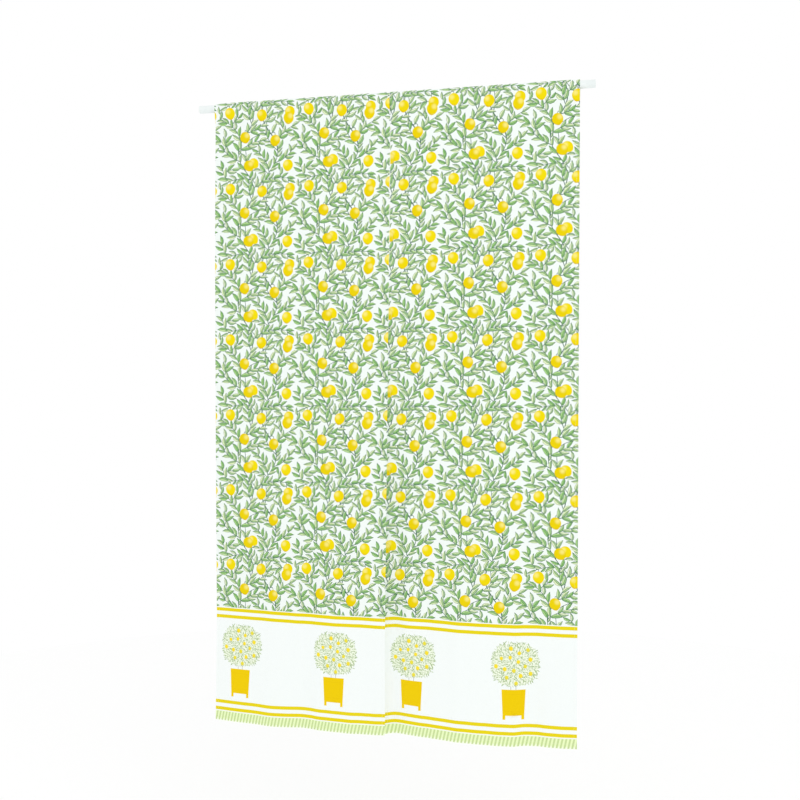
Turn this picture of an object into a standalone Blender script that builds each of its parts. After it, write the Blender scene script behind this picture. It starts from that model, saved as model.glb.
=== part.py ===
"""A two-panel noren curtain on its round rod.

Metres, +Z up. The origin is the centre of the rod's left end, +X runs along the rod to the right,
and the printed face of the cloth looks towards -Y. Each panel is one length of cloth. It rises from
the hem, turns in a pressed crease above the rod, comes down behind and ends as a flap just below the
line where the two layers are sewn together, which makes the sleeve that the rod slides through.
"""

import math

import bmesh
import bpy

ROD_LENGTH = 0.937
ROD_DIAMETER = 0.018
ROD_END_ROUNDING = 0.0010
ROD_SIDES = 48

CURTAIN_WIDTH = 0.862
CURTAIN_DROP = 1.486
ROD_SHOWS_AT_LEFT = 0.041
BETWEEN_PANELS = 0.0010
CLOTH_THICKNESS = 0.0012

CLOTH_CLEARS_ROD = 0.0004
CREASE_ABOVE_ROD = 0.0025
SLEEVE_DEPTH = 0.045
FLAP_BELOW_STITCHES = 0.007
BETWEEN_LAYERS = 0.0004

SEWN_TOGETHER_TO = 0.300
UPPER_STRIPES_DROP = 1.226
LOWER_STRIPES_DROP = 1.448
FOLD_GROWTH = 1.2

# Each panel hangs a little to the left of straight down. These say how far its left and its right
# edge have moved along X at the hem. Below the seam the right panel also slips behind the left one.
LEFT_PANEL_DRIFT = (-0.009, -0.0122)
RIGHT_PANEL_DRIFT = (-0.0122, -0.007)
SLIPS_BEHIND = 0.005

COLUMNS = 24
ROWS_BELOW_SLEEVE = 26
SLEEVE_SIDE_STEPS = 2
SLEEVE_CHEEK_STEPS = 4

# Folds of a panel, one row for each place across it. Across runs from the panel's left edge, as a
# share of its width. The other two columns say how many millimetres the cloth stands towards -Y
# there, at the height of the upper stripes and at the height of the lower ones.
FOLD_COLUMNS = ("across", "at_upper_stripes", "at_lower_stripes")
LEFT_PANEL_FOLDS = (
    (0.00, -24, -21),
    (0.15, -17, -11),
    (0.25, -11, -6),
    (0.34, -6, 2),
    (0.43, -3, 0),
    (0.53, -1, -6),
    (0.62, 4, 3),
    (0.71, 8, 5),
    (0.81, 9, 10),
    (0.90, 9, 7),
    (1.00, 11, 4),
)
RIGHT_PANEL_FOLDS = (
    (0.00, -5, -5),
    (0.05, -16, -19),
    (0.13, -8, -12),
    (0.21, -5, -3),
    (0.30, 0, 4),
    (0.38, 7, 11),
    (0.54, 12, 17),
    (0.67, 9, 13),
    (0.75, 2, 0),
    (0.88, -1, 1),
    (1.00, -2, -2),
)

ROD_WHITE = (0.90, 0.91, 0.91, 1.0)
CLOTH_PALE_GREEN = (0.72, 0.84, 0.52, 1.0)

MILLIMETRE = 0.001
SLEEVE_RADIUS = ROD_DIAMETER / 2 + CLOTH_CLEARS_ROD + CLOTH_THICKNESS / 2
CREASE_HEIGHT = ROD_DIAMETER / 2 + CREASE_ABOVE_ROD
CREASE_SLOPE = math.acos(SLEEVE_RADIUS / CREASE_HEIGHT)
TOP = CREASE_HEIGHT + CLOTH_THICKNESS / 2 / math.cos(CREASE_SLOPE)
LAYER_FROM_MIDDLE = (CLOTH_THICKNESS + BETWEEN_LAYERS) / 2
PANEL_WIDTH = (CURTAIN_WIDTH - BETWEEN_PANELS) / 2


def clear_scene():
    for obj in list(bpy.data.objects):
        bpy.data.objects.remove(obj, do_unlink=True)


def make_material(name, colour, roughness):
    material = bpy.data.materials.new(name)
    material.use_nodes = True
    shader = material.node_tree.nodes["Principled BSDF"]
    shader.inputs["Base Color"].default_value = colour
    shader.inputs["Roughness"].default_value = roughness
    shader.inputs["Metallic"].default_value = 0.0
    return material


def fold_slopes(folds, column):
    """Slope of a fold column at each of its rows, from the rows on both sides."""
    last = len(folds) - 1
    slopes = []
    for row in range(len(folds)):
        before = folds[max(row - 1, 0)]
        after = folds[min(row + 1, last)]
        slopes.append((after[column] - before[column]) / (after[0] - before[0]))
    return slopes


def fold_at(folds, column_name, across):
    """Smooth curve through one column of a fold table, in metres towards -Y."""
    column = FOLD_COLUMNS.index(column_name)
    slopes = fold_slopes(folds, column)
    row = 0
    while row < len(folds) - 2 and across > folds[row + 1][0]:
        row += 1
    start, end = folds[row], folds[row + 1]
    span = end[0] - start[0]
    t = (across - start[0]) / span
    value = (
        (2 * t**3 - 3 * t**2 + 1) * start[column]
        + (t**3 - 2 * t**2 + t) * span * slopes[row]
        + (3 * t**2 - 2 * t**3) * end[column]
        + (t**3 - t**2) * span * slopes[row + 1]
    )
    return value * MILLIMETRE


def forward_of_rod(folds, across, drop):
    """How far the hanging cloth stands towards -Y at a place across it and below its top edge."""
    if drop <= SEWN_TOGETHER_TO:
        return 0.0
    upper = fold_at(folds, "at_upper_stripes", across)
    if drop <= UPPER_STRIPES_DROP:
        share = (drop - SEWN_TOGETHER_TO) / (UPPER_STRIPES_DROP - SEWN_TOGETHER_TO)
        return upper * share**FOLD_GROWTH
    lower = fold_at(folds, "at_lower_stripes", across)
    share = min(1.0, (drop - UPPER_STRIPES_DROP) / (LOWER_STRIPES_DROP - UPPER_STRIPES_DROP))
    return upper + (lower - upper) * share * share * (3 - 2 * share)


def sideways(drift, slips_behind, across, drop):
    """How far the cloth has moved along X at a place across it and below its top edge."""
    slipped = (drop - SEWN_TOGETHER_TO) / (UPPER_STRIPES_DROP - SEWN_TOGETHER_TO)
    left = drift[0] * drop / CURTAIN_DROP - slips_behind * min(1.0, max(0.0, slipped))
    right = drift[1] * drop / CURTAIN_DROP
    return left + (right - left) * across


def back_leaves_rod():
    """Angle in the YZ plane, from +Y, where the sleeve's back parts from the rod towards the stitches."""
    stitch_distance = math.hypot(LAYER_FROM_MIDDLE, SLEEVE_DEPTH)
    stitch_angle = math.atan2(-SLEEVE_DEPTH, LAYER_FROM_MIDDLE)
    return stitch_angle + math.acos(SLEEVE_RADIUS / stitch_distance)


def between(start, end, share):
    return tuple(a + (b - a) * share for a, b in zip(start, end))


def back_cheek():
    """Places (y, z) where the cloth lies against the back of the rod, from the crease's foot down."""
    high = math.pi / 2 - CREASE_SLOPE
    low = back_leaves_rod()
    angles = [high + (low - high) * step / SLEEVE_CHEEK_STEPS for step in range(SLEEVE_CHEEK_STEPS + 1)]
    return [(SLEEVE_RADIUS * math.cos(angle), SLEEVE_RADIUS * math.sin(angle)) for angle in angles]


def cloth_stations():
    """Places (y, z) of the cloth's middle from the hem up, over the rod and down to the flap's end."""
    hem = (-LAYER_FROM_MIDDLE, TOP - CURTAIN_DROP)
    front_stitches = (-LAYER_FROM_MIDDLE, -SLEEVE_DEPTH)
    back_stitches = (LAYER_FROM_MIDDLE, -SLEEVE_DEPTH)
    flap_end = (LAYER_FROM_MIDDLE, -SLEEVE_DEPTH - FLAP_BELOW_STITCHES)
    back = back_cheek()
    front = [(-y, z) for y, z in reversed(back)]
    stations = [between(hem, front_stitches, n / ROWS_BELOW_SLEEVE) for n in range(ROWS_BELOW_SLEEVE)]
    stations += [between(front_stitches, front[0], n / SLEEVE_SIDE_STEPS) for n in range(SLEEVE_SIDE_STEPS)]
    stations += front + [(0.0, CREASE_HEIGHT)] + back[:-1]
    stations += [between(back[-1], back_stitches, n / SLEEVE_SIDE_STEPS) for n in range(SLEEVE_SIDE_STEPS)]
    stations += [back_stitches, flap_end]
    return stations


def make_panel(name, left_edge, folds, drift, slips_behind, material, collection):
    """One panel: an open sheet laid along the stations and given the cloth's thickness."""
    stations = cloth_stations()
    mesh = bpy.data.meshes.new(name)
    sheet = bmesh.new()
    bmesh.ops.create_grid(sheet, x_segments=COLUMNS, y_segments=len(stations) - 1, size=0.5)
    for vertex in sheet.verts:
        across = vertex.co.x + 0.5
        row = round((vertex.co.y + 0.5) * (len(stations) - 1))
        y, z = stations[row]
        drop = TOP - z
        if row < ROWS_BELOW_SLEEVE:
            y -= forward_of_rod(folds, across, drop)
        x = left_edge + across * PANEL_WIDTH + sideways(drift, slips_behind, across, drop)
        vertex.co = (x, y, z)
    bmesh.ops.recalc_face_normals(sheet, faces=sheet.faces)
    sheet.to_mesh(mesh)
    sheet.free()
    mesh.shade_smooth()
    mesh.materials.append(material)
    panel = bpy.data.objects.new(name, mesh)
    collection.objects.link(panel)
    thickness = panel.modifiers.new("cloth_thickness", "SOLIDIFY")
    thickness.thickness = CLOTH_THICKNESS
    thickness.offset = 0.0
    thickness.use_even_offset = True
    return panel


def make_rod(material, collection):
    """The straight round rod, its axis along +X from the origin."""
    bpy.ops.mesh.primitive_cylinder_add(
        vertices=ROD_SIDES,
        radius=ROD_DIAMETER / 2,
        depth=ROD_LENGTH,
        location=(ROD_LENGTH / 2, 0.0, 0.0),
        rotation=(0.0, math.pi / 2, 0.0),
    )
    rod = bpy.context.object
    rod.name = "rod"
    rod.data.name = "rod"
    for owner in list(rod.users_collection):
        owner.objects.unlink(rod)
    collection.objects.link(rod)
    rounding = rod.modifiers.new("end_rounding", "BEVEL")
    rounding.width = ROD_END_ROUNDING
    rounding.segments = 2
    rounding.limit_method = "ANGLE"
    rounding.angle_limit = math.radians(40)
    rod.data.shade_smooth()
    rod.data.set_sharp_from_angle(angle=math.radians(40))
    rod.data.materials.append(material)
    return rod


def main():
    clear_scene()
    collection = bpy.data.collections.new("noren_curtain")
    bpy.context.scene.collection.children.link(collection)
    left_edge = ROD_SHOWS_AT_LEFT
    right_panel_edge = left_edge + PANEL_WIDTH + BETWEEN_PANELS
    left_cloth = make_material("left_panel_cloth", CLOTH_PALE_GREEN, 0.85)
    right_cloth = make_material("right_panel_cloth", CLOTH_PALE_GREEN, 0.85)
    make_panel("left_panel", left_edge, LEFT_PANEL_FOLDS, LEFT_PANEL_DRIFT, 0.0, left_cloth, collection)
    make_panel(
        "right_panel", right_panel_edge, RIGHT_PANEL_FOLDS, RIGHT_PANEL_DRIFT, SLIPS_BEHIND, right_cloth, collection
    )
    make_rod(make_material("rod_white", ROD_WHITE, 0.4), collection)


main()
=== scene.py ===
import math
import random

import bmesh
import bpy
import numpy as np
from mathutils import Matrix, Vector
from mathutils.bvhtree import BVHTree
from mathutils.geometry import delaunay_2d_cdt


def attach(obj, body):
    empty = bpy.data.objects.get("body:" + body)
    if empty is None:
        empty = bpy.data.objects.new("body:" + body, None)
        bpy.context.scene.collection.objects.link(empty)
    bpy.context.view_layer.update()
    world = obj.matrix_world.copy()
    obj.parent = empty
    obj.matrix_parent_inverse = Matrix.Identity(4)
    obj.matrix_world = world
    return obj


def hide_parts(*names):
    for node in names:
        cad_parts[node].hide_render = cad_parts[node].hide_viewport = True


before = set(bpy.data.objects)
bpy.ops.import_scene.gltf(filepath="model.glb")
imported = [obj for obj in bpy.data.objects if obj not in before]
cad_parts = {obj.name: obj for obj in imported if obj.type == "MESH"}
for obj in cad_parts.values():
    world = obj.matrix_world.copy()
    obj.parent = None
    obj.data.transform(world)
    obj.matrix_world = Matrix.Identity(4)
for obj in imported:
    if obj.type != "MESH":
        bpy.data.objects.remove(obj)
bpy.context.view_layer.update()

# A place on the flat cloth is given in millimetres: across from the panel's left edge, and down from
# the top crease, so that down is also the drop once the cloth hangs below its sleeve. Places in space
# are in metres.
MILLIMETRE = 0.001

ROD_RADIUS = 9.0
LEFT_EDGE = 41.0
PANEL_WIDTH = 430.5
BETWEEN_PANELS = 1.0
CURTAIN_DROP = 1486.0
TOP_OF_CLOTH = 12.2

# How far a panel's left and right edges have moved along X at the hem, and how far the right panel
# slips behind the left one below the seam.
LEFT_PANEL_DRIFT = (-9.0, -12.2)
RIGHT_PANEL_DRIFT = (-12.2, -7.0)
SLIPS_BEHIND = 5.0

CLOTH_THICKNESS = 0.45
HEM_THICKNESS = 0.90
CLOTH_CLEARS_ROD = 0.12
CREASE_RADIUS = 1.0
SLEEVE_DEPTH = 45.0
FLAP_BELOW_STITCHES = 7.0
PRINTED_FACE_FROM_MIDDLE = 0.5
SIDE_HEM = 8.0
BOTTOM_HEM = 13.0
HEM_STEP = 0.6
SHARP_EDGE = math.radians(60)

SEWN_TOGETHER_TO = 300.0
UPPER_STRIPES_DROP = 1226.0
LOWER_STRIPES_DROP = 1448.0
FOLD_GROWTH = 1.2

# Folds of a panel, one row for each place across it. Across runs from the panel's left edge, as a
# share of its width. The other two columns say how many millimetres the cloth stands towards -Y
# there, at the height of the upper stripes and at the height of the lower ones.
FOLD_COLUMNS = ("across", "at_upper_stripes", "at_lower_stripes")
LEFT_PANEL_FOLDS = (
    (0.00, -24, -21),
    (0.15, -17, -11),
    (0.25, -11, -6),
    (0.34, -6, 2),
    (0.43, -3, 0),
    (0.53, -1, -6),
    (0.62, 4, 3),
    (0.71, 8, 5),
    (0.81, 9, 10),
    (0.90, 9, 7),
    (1.00, 11, 4),
)
RIGHT_PANEL_FOLDS = (
    (0.00, -5, -5),
    (0.05, -16, -19),
    (0.13, -8, -12),
    (0.21, -5, -3),
    (0.30, 0, 4),
    (0.38, 7, 11),
    (0.54, 12, 17),
    (0.67, 9, 13),
    (0.75, 2, 0),
    (0.88, -1, 1),
    (1.00, -2, -2),
)

# Soft creases, listed one by one. A crease is a low ridge, or a trough where its height is negative. It
# runs from one drop to another, fades out at both ends, and leans sideways as it goes down. All in
# millimetres, and the lean is in millimetres for each metre down.
CREASE_COLUMNS = ("across", "from", "to", "height", "half_width", "lean")
LEFT_PANEL_CREASES = (
    (38, 58, 330, 1.2, 11, 20),
    (92, 58, 240, -1.0, 12, -30),
    (150, 58, 420, 1.1, 13, 25),
    (214, 58, 260, -1.1, 12, 10),
    (262, 58, 360, 1.2, 12, -20),
    (330, 58, 300, -0.9, 14, 15),
    (392, 58, 280, 1.0, 11, -10),
    (60, 620, 1380, 1.6, 15, -12),
    (118, 760, 1470, -1.8, 14, 10),
    (205, 820, 1480, 2.2, 12, 16),
    (246, 900, 1486, -1.6, 11, 12),
    (318, 700, 1486, 1.7, 14, -16),
    (372, 940, 1486, -1.5, 12, -8),
    (410, 1000, 1486, 1.3, 10, -6),
)
RIGHT_PANEL_CREASES = (
    (30, 58, 250, 1.0, 12, 18),
    (84, 58, 380, -1.2, 12, 22),
    (140, 58, 290, 1.1, 13, -16),
    (205, 58, 240, -1.0, 12, 12),
    (258, 58, 400, 1.2, 14, -24),
    (322, 58, 270, -1.0, 12, 8),
    (384, 58, 340, 1.1, 12, -18),
    (40, 640, 1440, 1.8, 13, 12),
    (96, 860, 1486, -1.7, 12, 8),
    (178, 760, 1486, 1.8, 13, -14),
    (240, 900, 1486, -1.6, 14, -10),
    (300, 980, 1486, 2.0, 11, -10),
    (342, 820, 1486, -1.9, 12, 6),
    (392, 700, 1486, 1.4, 13, 10),
)

# The print. The all-over pattern repeats, and a white border with four stripes, potted trees and a
# band of short strokes lies below it.
REPEAT_WIDTH = 196.8
REPEAT_HEIGHT = 180.0
REPEAT_STARTS_DOWN = -57.0
FIELD_ENDS = 1212.0
STRIPE_HEIGHT = 8.0
STRIPE_DROPS = (1218.0, 1234.6, 1439.7, 1456.5)
STROKE_BAND_TOP = 1463.0
STROKE_PITCH = 8.35
STROKE_WIDTH = 4.0
STROKE_LEAN = 4.6
STROKE_ENDS_ABOVE_HEM = 1.2

LEAF_STEPS = (0.0, 0.15, 0.38, 0.68, 1.0)
LEAF_SLENDERNESS = 0.36
LEAF_BOW = 0.08
LEMON_WIDTH = 25.0
LEMON_LENGTH = 26.6
LEMON_SIDES = 20
STEM_STEP = 10.0
STEM_WIDTHS = {"main": 2.4, "spray": 1.8, "twig": 1.5}

MAIN_STEM_PLACES = (44.0, 143.0)
MAIN_STEM_SWING = math.radians(36)
MAIN_STEM_STEPS = 24
SPRAY_LEAVES_MAIN_STEM = math.radians(46)
LEAF_LEAVES_STEM = math.radians(34)
LEAF_SPACING = 9.5

# Leafy sprays of the repeat. Stem says which main stem a spray leaves, at how far up it as a share,
# side which side, droop how many degrees it bends down over its length, and leaf its longest leaf.
SPRAY_COLUMNS = ("stem", "at", "side", "length", "droop", "leaf")
SPRAYS = (
    (0, 0.02, 1, 58, 30, 27),
    (0, 0.27, 1, 50, -38, 25),
    (0, 0.52, 1, 58, 46, 26),
    (0, 0.77, 1, 54, -20, 27),
    (0, 0.14, -1, 56, 34, 26),
    (0, 0.39, -1, 52, -34, 27),
    (0, 0.64, -1, 58, 40, 25),
    (0, 0.90, -1, 50, -26, 26),
    (1, 0.10, 1, 56, 42, 26),
    (1, 0.35, 1, 52, -30, 27),
    (1, 0.60, 1, 58, 30, 25),
    (1, 0.86, 1, 50, -36, 26),
    (1, 0.01, -1, 52, -30, 27),
    (1, 0.24, -1, 58, 44, 26),
    (1, 0.49, -1, 50, -22, 25),
    (1, 0.73, -1, 58, 36, 27),
)

# Lemons of the repeat: where the lowest of each group hangs, and what the group is.
LEMON_COLUMNS = ("across", "down", "group")
LEMON_GROUPS = (
    (70, 30, "tilted pair"),
    (168, 33, "one"),
    (24, 84, "one"),
    (104, 92, "one"),
    (170, 102, "upright pair"),
    (60, 142, "one"),
    (136, 153, "one"),
)
LONGEST_TWIG_LEAF = 28
SMALLEST_GAP_FILLED = 7
MOST_TWIGS = 60

TREE_HEAD_WIDTH = 106.0
TREE_HEAD_HEIGHT = 100.0
TREE_HEAD_DROP = 1302.0
TREE_HEAD_ASIDE = 3.0
TREE_SQUARENESS = 2.5
TREE_STROKE_STEP = 4.3
TREE_LEAF_LENGTH = 7.0
TREE_LEAF_WIDTH = 2.7
TREE_FRUITS = 15
TREE_FRUIT_WIDTH = 8.4
TREE_TRUNK_APART = 11.0
TREE_SEED = 5
TREE_WASH_SIZE = 0.95
TREE_WASH_SIDES = 36
PALEST_STROKE = 0.30
GOLDEN_ANGLE = 2.399963
PLANTER_TOP = 1358.5
PLANTER_BOTTOM = 1416.5
PLANTER_FEET = 9.0
PLANTER_TOP_WIDTH = 51.5
PLANTER_BOTTOM_WIDTH = 46.0
FOOT_WIDTH = 6.0

# Where each panel's print lies: the start of a repeat across it, and the middles of its two trees.
PANELS = {
    "left_panel": {
        "edge": LEFT_EDGE,
        "folds": LEFT_PANEL_FOLDS,
        "creases": LEFT_PANEL_CREASES,
        "drift": LEFT_PANEL_DRIFT,
        "slips_behind": 0.0,
        "repeat_starts": 15.0,
        "trees": (65.7, 306.3),
    },
    "right_panel": {
        "edge": LEFT_EDGE + PANEL_WIDTH + BETWEEN_PANELS,
        "folds": RIGHT_PANEL_FOLDS,
        "creases": RIGHT_PANEL_CREASES,
        "drift": RIGHT_PANEL_DRIFT,
        "slips_behind": SLIPS_BEHIND,
        "repeat_starts": 125.0,
        "trees": (61.2, 293.7),
    },
}

COLUMN_STEP = 8.0
ROW_STEP = 14.0

INKS = ("white_ground", "leaf_green", "stem_green", "lemon_yellow", "stripe_yellow", "band_green",
        "stroke_green", "tree_green", "fruit_yellow", "trunk_brown", "planter_yellow")


def evenly_scattered(n):
    """Number from 0 to 1 that jumps about evenly as n counts up."""
    return (n * 0.6180339887) % 1.0


def leaf_breadth(t):
    """Breadth of a leaf at a share of its length, 1 at the widest."""
    return 3.21 * t**0.75 * (1.0 - t) ** 0.95


class Leaf:
    ink = "leaf_green"

    def __init__(self, base, heading, length, tone, bow):
        self.base = base
        self.heading = heading
        self.length = length
        self.tone = tone
        self.bow = bow * length

    def place(self, t, edge):
        """Point at a share of the length, and edge from -1 to 1 across the leaf."""
        x = t * self.length
        y = edge * leaf_breadth(t) * self.length * LEAF_SLENDERNESS / 2 + self.bow * math.sin(math.pi * t)
        sine, cosine = math.sin(self.heading), math.cos(self.heading)
        return (self.base[0] + x * sine + y * cosine, self.base[1] - x * cosine + y * sine)

    def outline(self):
        there = [self.place(t, 1) for t in LEAF_STEPS]
        back = [self.place(t, -1) for t in LEAF_STEPS[-2:0:-1]]
        return there + back

    def footprint(self, swell):
        points = []
        steps = round(self.length)
        for i in range(1, steps):
            t = i / steps
            rows = max(1, round(leaf_breadth(t) * self.length * LEAF_SLENDERNESS / 2))
            points += [self.place(t, swell * j / rows) for j in range(-rows, rows + 1)]
        return points


class Lemon:
    ink = "lemon_yellow"

    def __init__(self, centre, lean, size, tone):
        self.base = centre
        self.lean = lean
        self.size = size
        self.tone = tone

    def place(self, share, angle):
        """Point at a share of the radius, at an angle from the lemon's tip."""
        tip = 0.12 * max(0.0, math.cos(angle)) ** 8
        x = share * self.size * LEMON_WIDTH / 2 * math.sin(angle)
        y = share * self.size * LEMON_LENGTH / 2 * (math.cos(angle) + tip)
        sine, cosine = math.sin(self.lean), math.cos(self.lean)
        return (self.base[0] + x * cosine - y * sine, self.base[1] + x * sine + y * cosine)

    def outline(self):
        return [self.place(1.0, math.tau * n / LEMON_SIDES) for n in range(LEMON_SIDES)]

    def footprint(self, swell):
        return [self.place(swell * r / 14, math.tau * a / 60) for r in range(15) for a in range(60)]


class Stem:
    ink = "stem_green"

    def __init__(self, points, width):
        self.points = points
        self.base = points[0]
        self.width = width
        self.tone = 0.5

    def heading_at(self, share):
        n = min(int(share * (len(self.points) - 1)), len(self.points) - 2)
        (ax, ay), (bx, by) = self.points[n], self.points[n + 1]
        return math.atan2(bx - ax, ay - by)

    def point_at(self, share):
        n = share * (len(self.points) - 1)
        low = min(int(n), len(self.points) - 2)
        (ax, ay), (bx, by) = self.points[low], self.points[low + 1]
        return (ax + (bx - ax) * (n - low), ay + (by - ay) * (n - low))

    def outline(self):
        left, right = [], []
        last = len(self.points) - 1
        for n, (x, y) in enumerate(self.points):
            (ax, ay), (bx, by) = self.points[max(n - 1, 0)], self.points[min(n + 1, last)]
            size = math.hypot(bx - ax, by - ay)
            half = self.width / 2 * (1.0 - 0.4 * n / last)
            dx, dy = -(by - ay) / size * half, (bx - ax) / size * half
            left.append((x + dx, y + dy))
            right.append((x - dx, y - dy))
        return left + right[::-1]

    def footprint(self, swell):
        steps = 3 * len(self.points)
        return [self.point_at(n / steps) for n in range(steps + 1)]


class Field:
    """Square millimetres of the repeat that are already printed. It runs on past its own edges."""

    def __init__(self):
        self.taken = np.zeros((round(REPEAT_HEIGHT), round(REPEAT_WIDTH)), bool)

    def cells(self, points):
        rows = [int(y % REPEAT_HEIGHT) % self.taken.shape[0] for _, y in points]
        columns = [int(x % REPEAT_WIDTH) % self.taken.shape[1] for x, _ in points]
        return rows, columns

    def share_taken(self, shape):
        return self.taken[self.cells(shape.footprint(1.0))].mean()

    def fill(self, shape, swell):
        self.taken[self.cells(shape.footprint(swell))] = True

    def widest_gap(self):
        """Centre and radius of the widest gap."""
        free = ~self.taken
        radius = 0
        while True:
            sides = [np.roll(free, step, axis) for step in (1, -1) for axis in (0, 1)]
            if radius % 2:
                sides += [np.roll(free, (s, r), (0, 1)) for s in (1, -1) for r in (1, -1)]
            inner = np.logical_and.reduce([free] + sides)
            if not inner.any():
                break
            free = inner
            radius += 1
        row, column = np.argwhere(free)[0]
        return (column + 0.5, row + 0.5), radius


class Repeat:
    """One repeat of the all-over print."""

    def __init__(self):
        self.field = Field()
        self.stems, self.leaves, self.lemons = [], [], []
        for number, row in enumerate(LEMON_GROUPS):
            self.hang_lemons(number, *row)
        mains = [self.main_stem(number) for number in range(len(MAIN_STEM_PLACES))]
        sprays = [self.spray(mains[row[0]], *row[1:5]) for row in SPRAYS]
        stalks = [self.stalk(*row[:2]) for row in LEMON_GROUPS]
        for shape in self.stems + self.lemons:
            self.field.fill(shape, 1.08)
        for stem, row in zip(sprays, SPRAYS):
            self.clothe(stem, row[5], True)
        for stem in stalks + mains:
            self.clothe(stem, 26, False)
        self.fill_gaps()

    def shapes(self):
        return self.stems + self.leaves + self.lemons

    def hang_lemons(self, number, across, down, group):
        lean = math.radians(34) * (evenly_scattered(number) - 0.5)
        tone = evenly_scattered(3 * number)
        if group == "tilted pair":
            self.lemons.append(Lemon((across + 12, down - 5), math.radians(-46), 0.97, tone))
            lean = math.radians(-38)
        elif group == "upright pair":
            lean = math.radians(10)
            self.lemons.append(Lemon((across + 4, down - 14), lean, 0.97, tone))
        self.lemons.append(Lemon((across, down), lean, 1.0, 1 - tone))

    @staticmethod
    def main_heading(start, n):
        return MAIN_STEM_SWING * math.sin(math.tau * (start + n / MAIN_STEM_STEPS))

    def main_stem(self, number):
        """A stem that winds up through the repeat and joins the next one above."""
        start = 0.5 * number
        rise = sum(math.cos(self.main_heading(start, n + 0.5)) for n in range(MAIN_STEM_STEPS))
        step = REPEAT_HEIGHT / rise
        points = [(MAIN_STEM_PLACES[number], REPEAT_HEIGHT)]
        for n in range(MAIN_STEM_STEPS):
            heading = self.main_heading(start, n + 0.5)
            x, y = points[-1]
            points.append((x + step * math.sin(heading), y - step * math.cos(heading)))
        return self.grow(points, "main")

    def grow(self, points, kind):
        stem = Stem(points, STEM_WIDTHS[kind])
        self.stems.append(stem)
        return stem

    def spray(self, main, at, side, length, droop):
        heading = main.heading_at(at) + side * SPRAY_LEAVES_MAIN_STEM
        steps = max(4, round(length / STEM_STEP))
        points = [main.point_at(at)]
        for n in range(steps):
            angle = heading + side * math.radians(droop) * (n + 0.5) / steps
            x, y = points[-1]
            points.append((x + math.sin(angle) * length / steps, y - math.cos(angle) * length / steps))
        return self.grow(points, "spray")

    def stalk(self, across, down):
        """A stalk that bends over from the nearest stem and holds a lemon from above."""
        top = (across, down - LEMON_LENGTH / 2)
        root = self.nearest_on_stems((across, down - 22))
        crest = (across, min(root[1], top[1]) - 7)
        points = []
        for n in range(6):
            t = n / 5
            weights = ((1 - t) ** 2, 2 * t * (1 - t), t * t)
            points.append(tuple(sum(w * p[i] for w, p in zip(weights, (root, crest, top))) for i in (0, 1)))
        return self.grow(points, "spray")

    def try_leaf(self, base, heading, length, overlap):
        """Add a leaf where it lies clear, turned or shortened a little if it has to be."""
        tone = evenly_scattered(len(self.leaves))
        bow = LEAF_BOW * (1 if evenly_scattered(2 * len(self.leaves)) > 0.5 else -1)
        for scale in (1.0, 0.87, 0.75):
            for swing in (0, 7, -7, 14, -14, 22, -22):
                leaf = Leaf(base, heading + math.radians(swing), length * scale, tone, bow)
                if self.field.share_taken(leaf) <= overlap:
                    self.leaves.append(leaf)
                    self.field.fill(leaf, 1.24)
                    return

    def clothe(self, stem, longest, ends_in_leaf):
        """Pairs of leaves along a stem, shorter towards its tip."""
        length = sum(math.dist(a, b) for a, b in zip(stem.points, stem.points[1:]))
        if ends_in_leaf:
            self.try_leaf(stem.points[-1], stem.heading_at(1.0), longest * 0.85, 0.15)
        for n in range(int((length - 6) / LEAF_SPACING), -1, -1):
            share = (length - (n + 0.35) * LEAF_SPACING) / length
            for side in (1, -1):
                heading = stem.heading_at(share) + side * LEAF_LEAVES_STEM
                self.try_leaf(stem.point_at(share), heading, longest * (1.05 - 0.3 * share), 0.16)

    def nearest_on_stems(self, place):
        """Nearest stem point to a place, seen from there past the repeat's edges."""
        best = None
        for stem in self.stems:
            for x, y in stem.points:
                dx = (x - place[0] + REPEAT_WIDTH / 2) % REPEAT_WIDTH - REPEAT_WIDTH / 2
                dy = (y - place[1] + REPEAT_HEIGHT / 2) % REPEAT_HEIGHT - REPEAT_HEIGHT / 2
                away = math.hypot(dx, dy)
                cost = away if dy > 0 else 1.7 * away
                if away > 5 and (best is None or cost < best[0]):
                    best = (cost, place[0] + dx, place[1] + dy)
        return best[1:]

    def fill_gaps(self):
        """Twigs of a few leaves, each from the nearest stem into the widest gap."""
        for number in range(MOST_TWIGS):
            gap, radius = self.field.widest_gap()
            if radius < SMALLEST_GAP_FILLED:
                break
            root = self.nearest_on_stems(gap)
            dx, dy = gap[0] - root[0], gap[1] - root[1]
            bow = 0.12 if number % 2 else -0.12
            steps = max(3, round(math.hypot(dx, dy) / STEM_STEP))
            points = []
            for n in range(steps + 1):
                t = n / steps
                side = bow * math.sin(math.pi * t)
                points.append((root[0] + dx * t - dy * side, root[1] + dy * t + dx * side))
            twig = Stem(points, STEM_WIDTHS["twig"])
            before = len(self.leaves)
            self.clothe(twig, min(LONGEST_TWIG_LEAF, 3.2 * radius), True)
            if len(self.leaves) > before:
                self.stems.append(twig)
                self.field.fill(twig, 1.0)
            else:
                self.field.taken[int(gap[1]), int(gap[0])] = True


class Patch:
    """A plain printed outline of the border."""

    def __init__(self, ink, points, base=(0.0, 0.0), tone=0.5):
        self.ink = ink
        self.points = points
        self.base = base
        self.tone = tone

    def outline(self):
        return self.points


def run(start, end, step):
    """Points from one place to another, both included, no more than a step apart."""
    count = max(1, math.ceil(math.dist(start, end) / step))
    return [tuple(a + (b - a) * n / count for a, b in zip(start, end)) for n in range(count + 1)]


def band(ink, top, bottom):
    """A strip right across a panel."""
    upper = run((0.0, top), (PANEL_WIDTH, top), COLUMN_STEP)
    lower = run((PANEL_WIDTH, bottom), (0.0, bottom), COLUMN_STEP)
    return Patch(ink, upper + lower)


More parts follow.
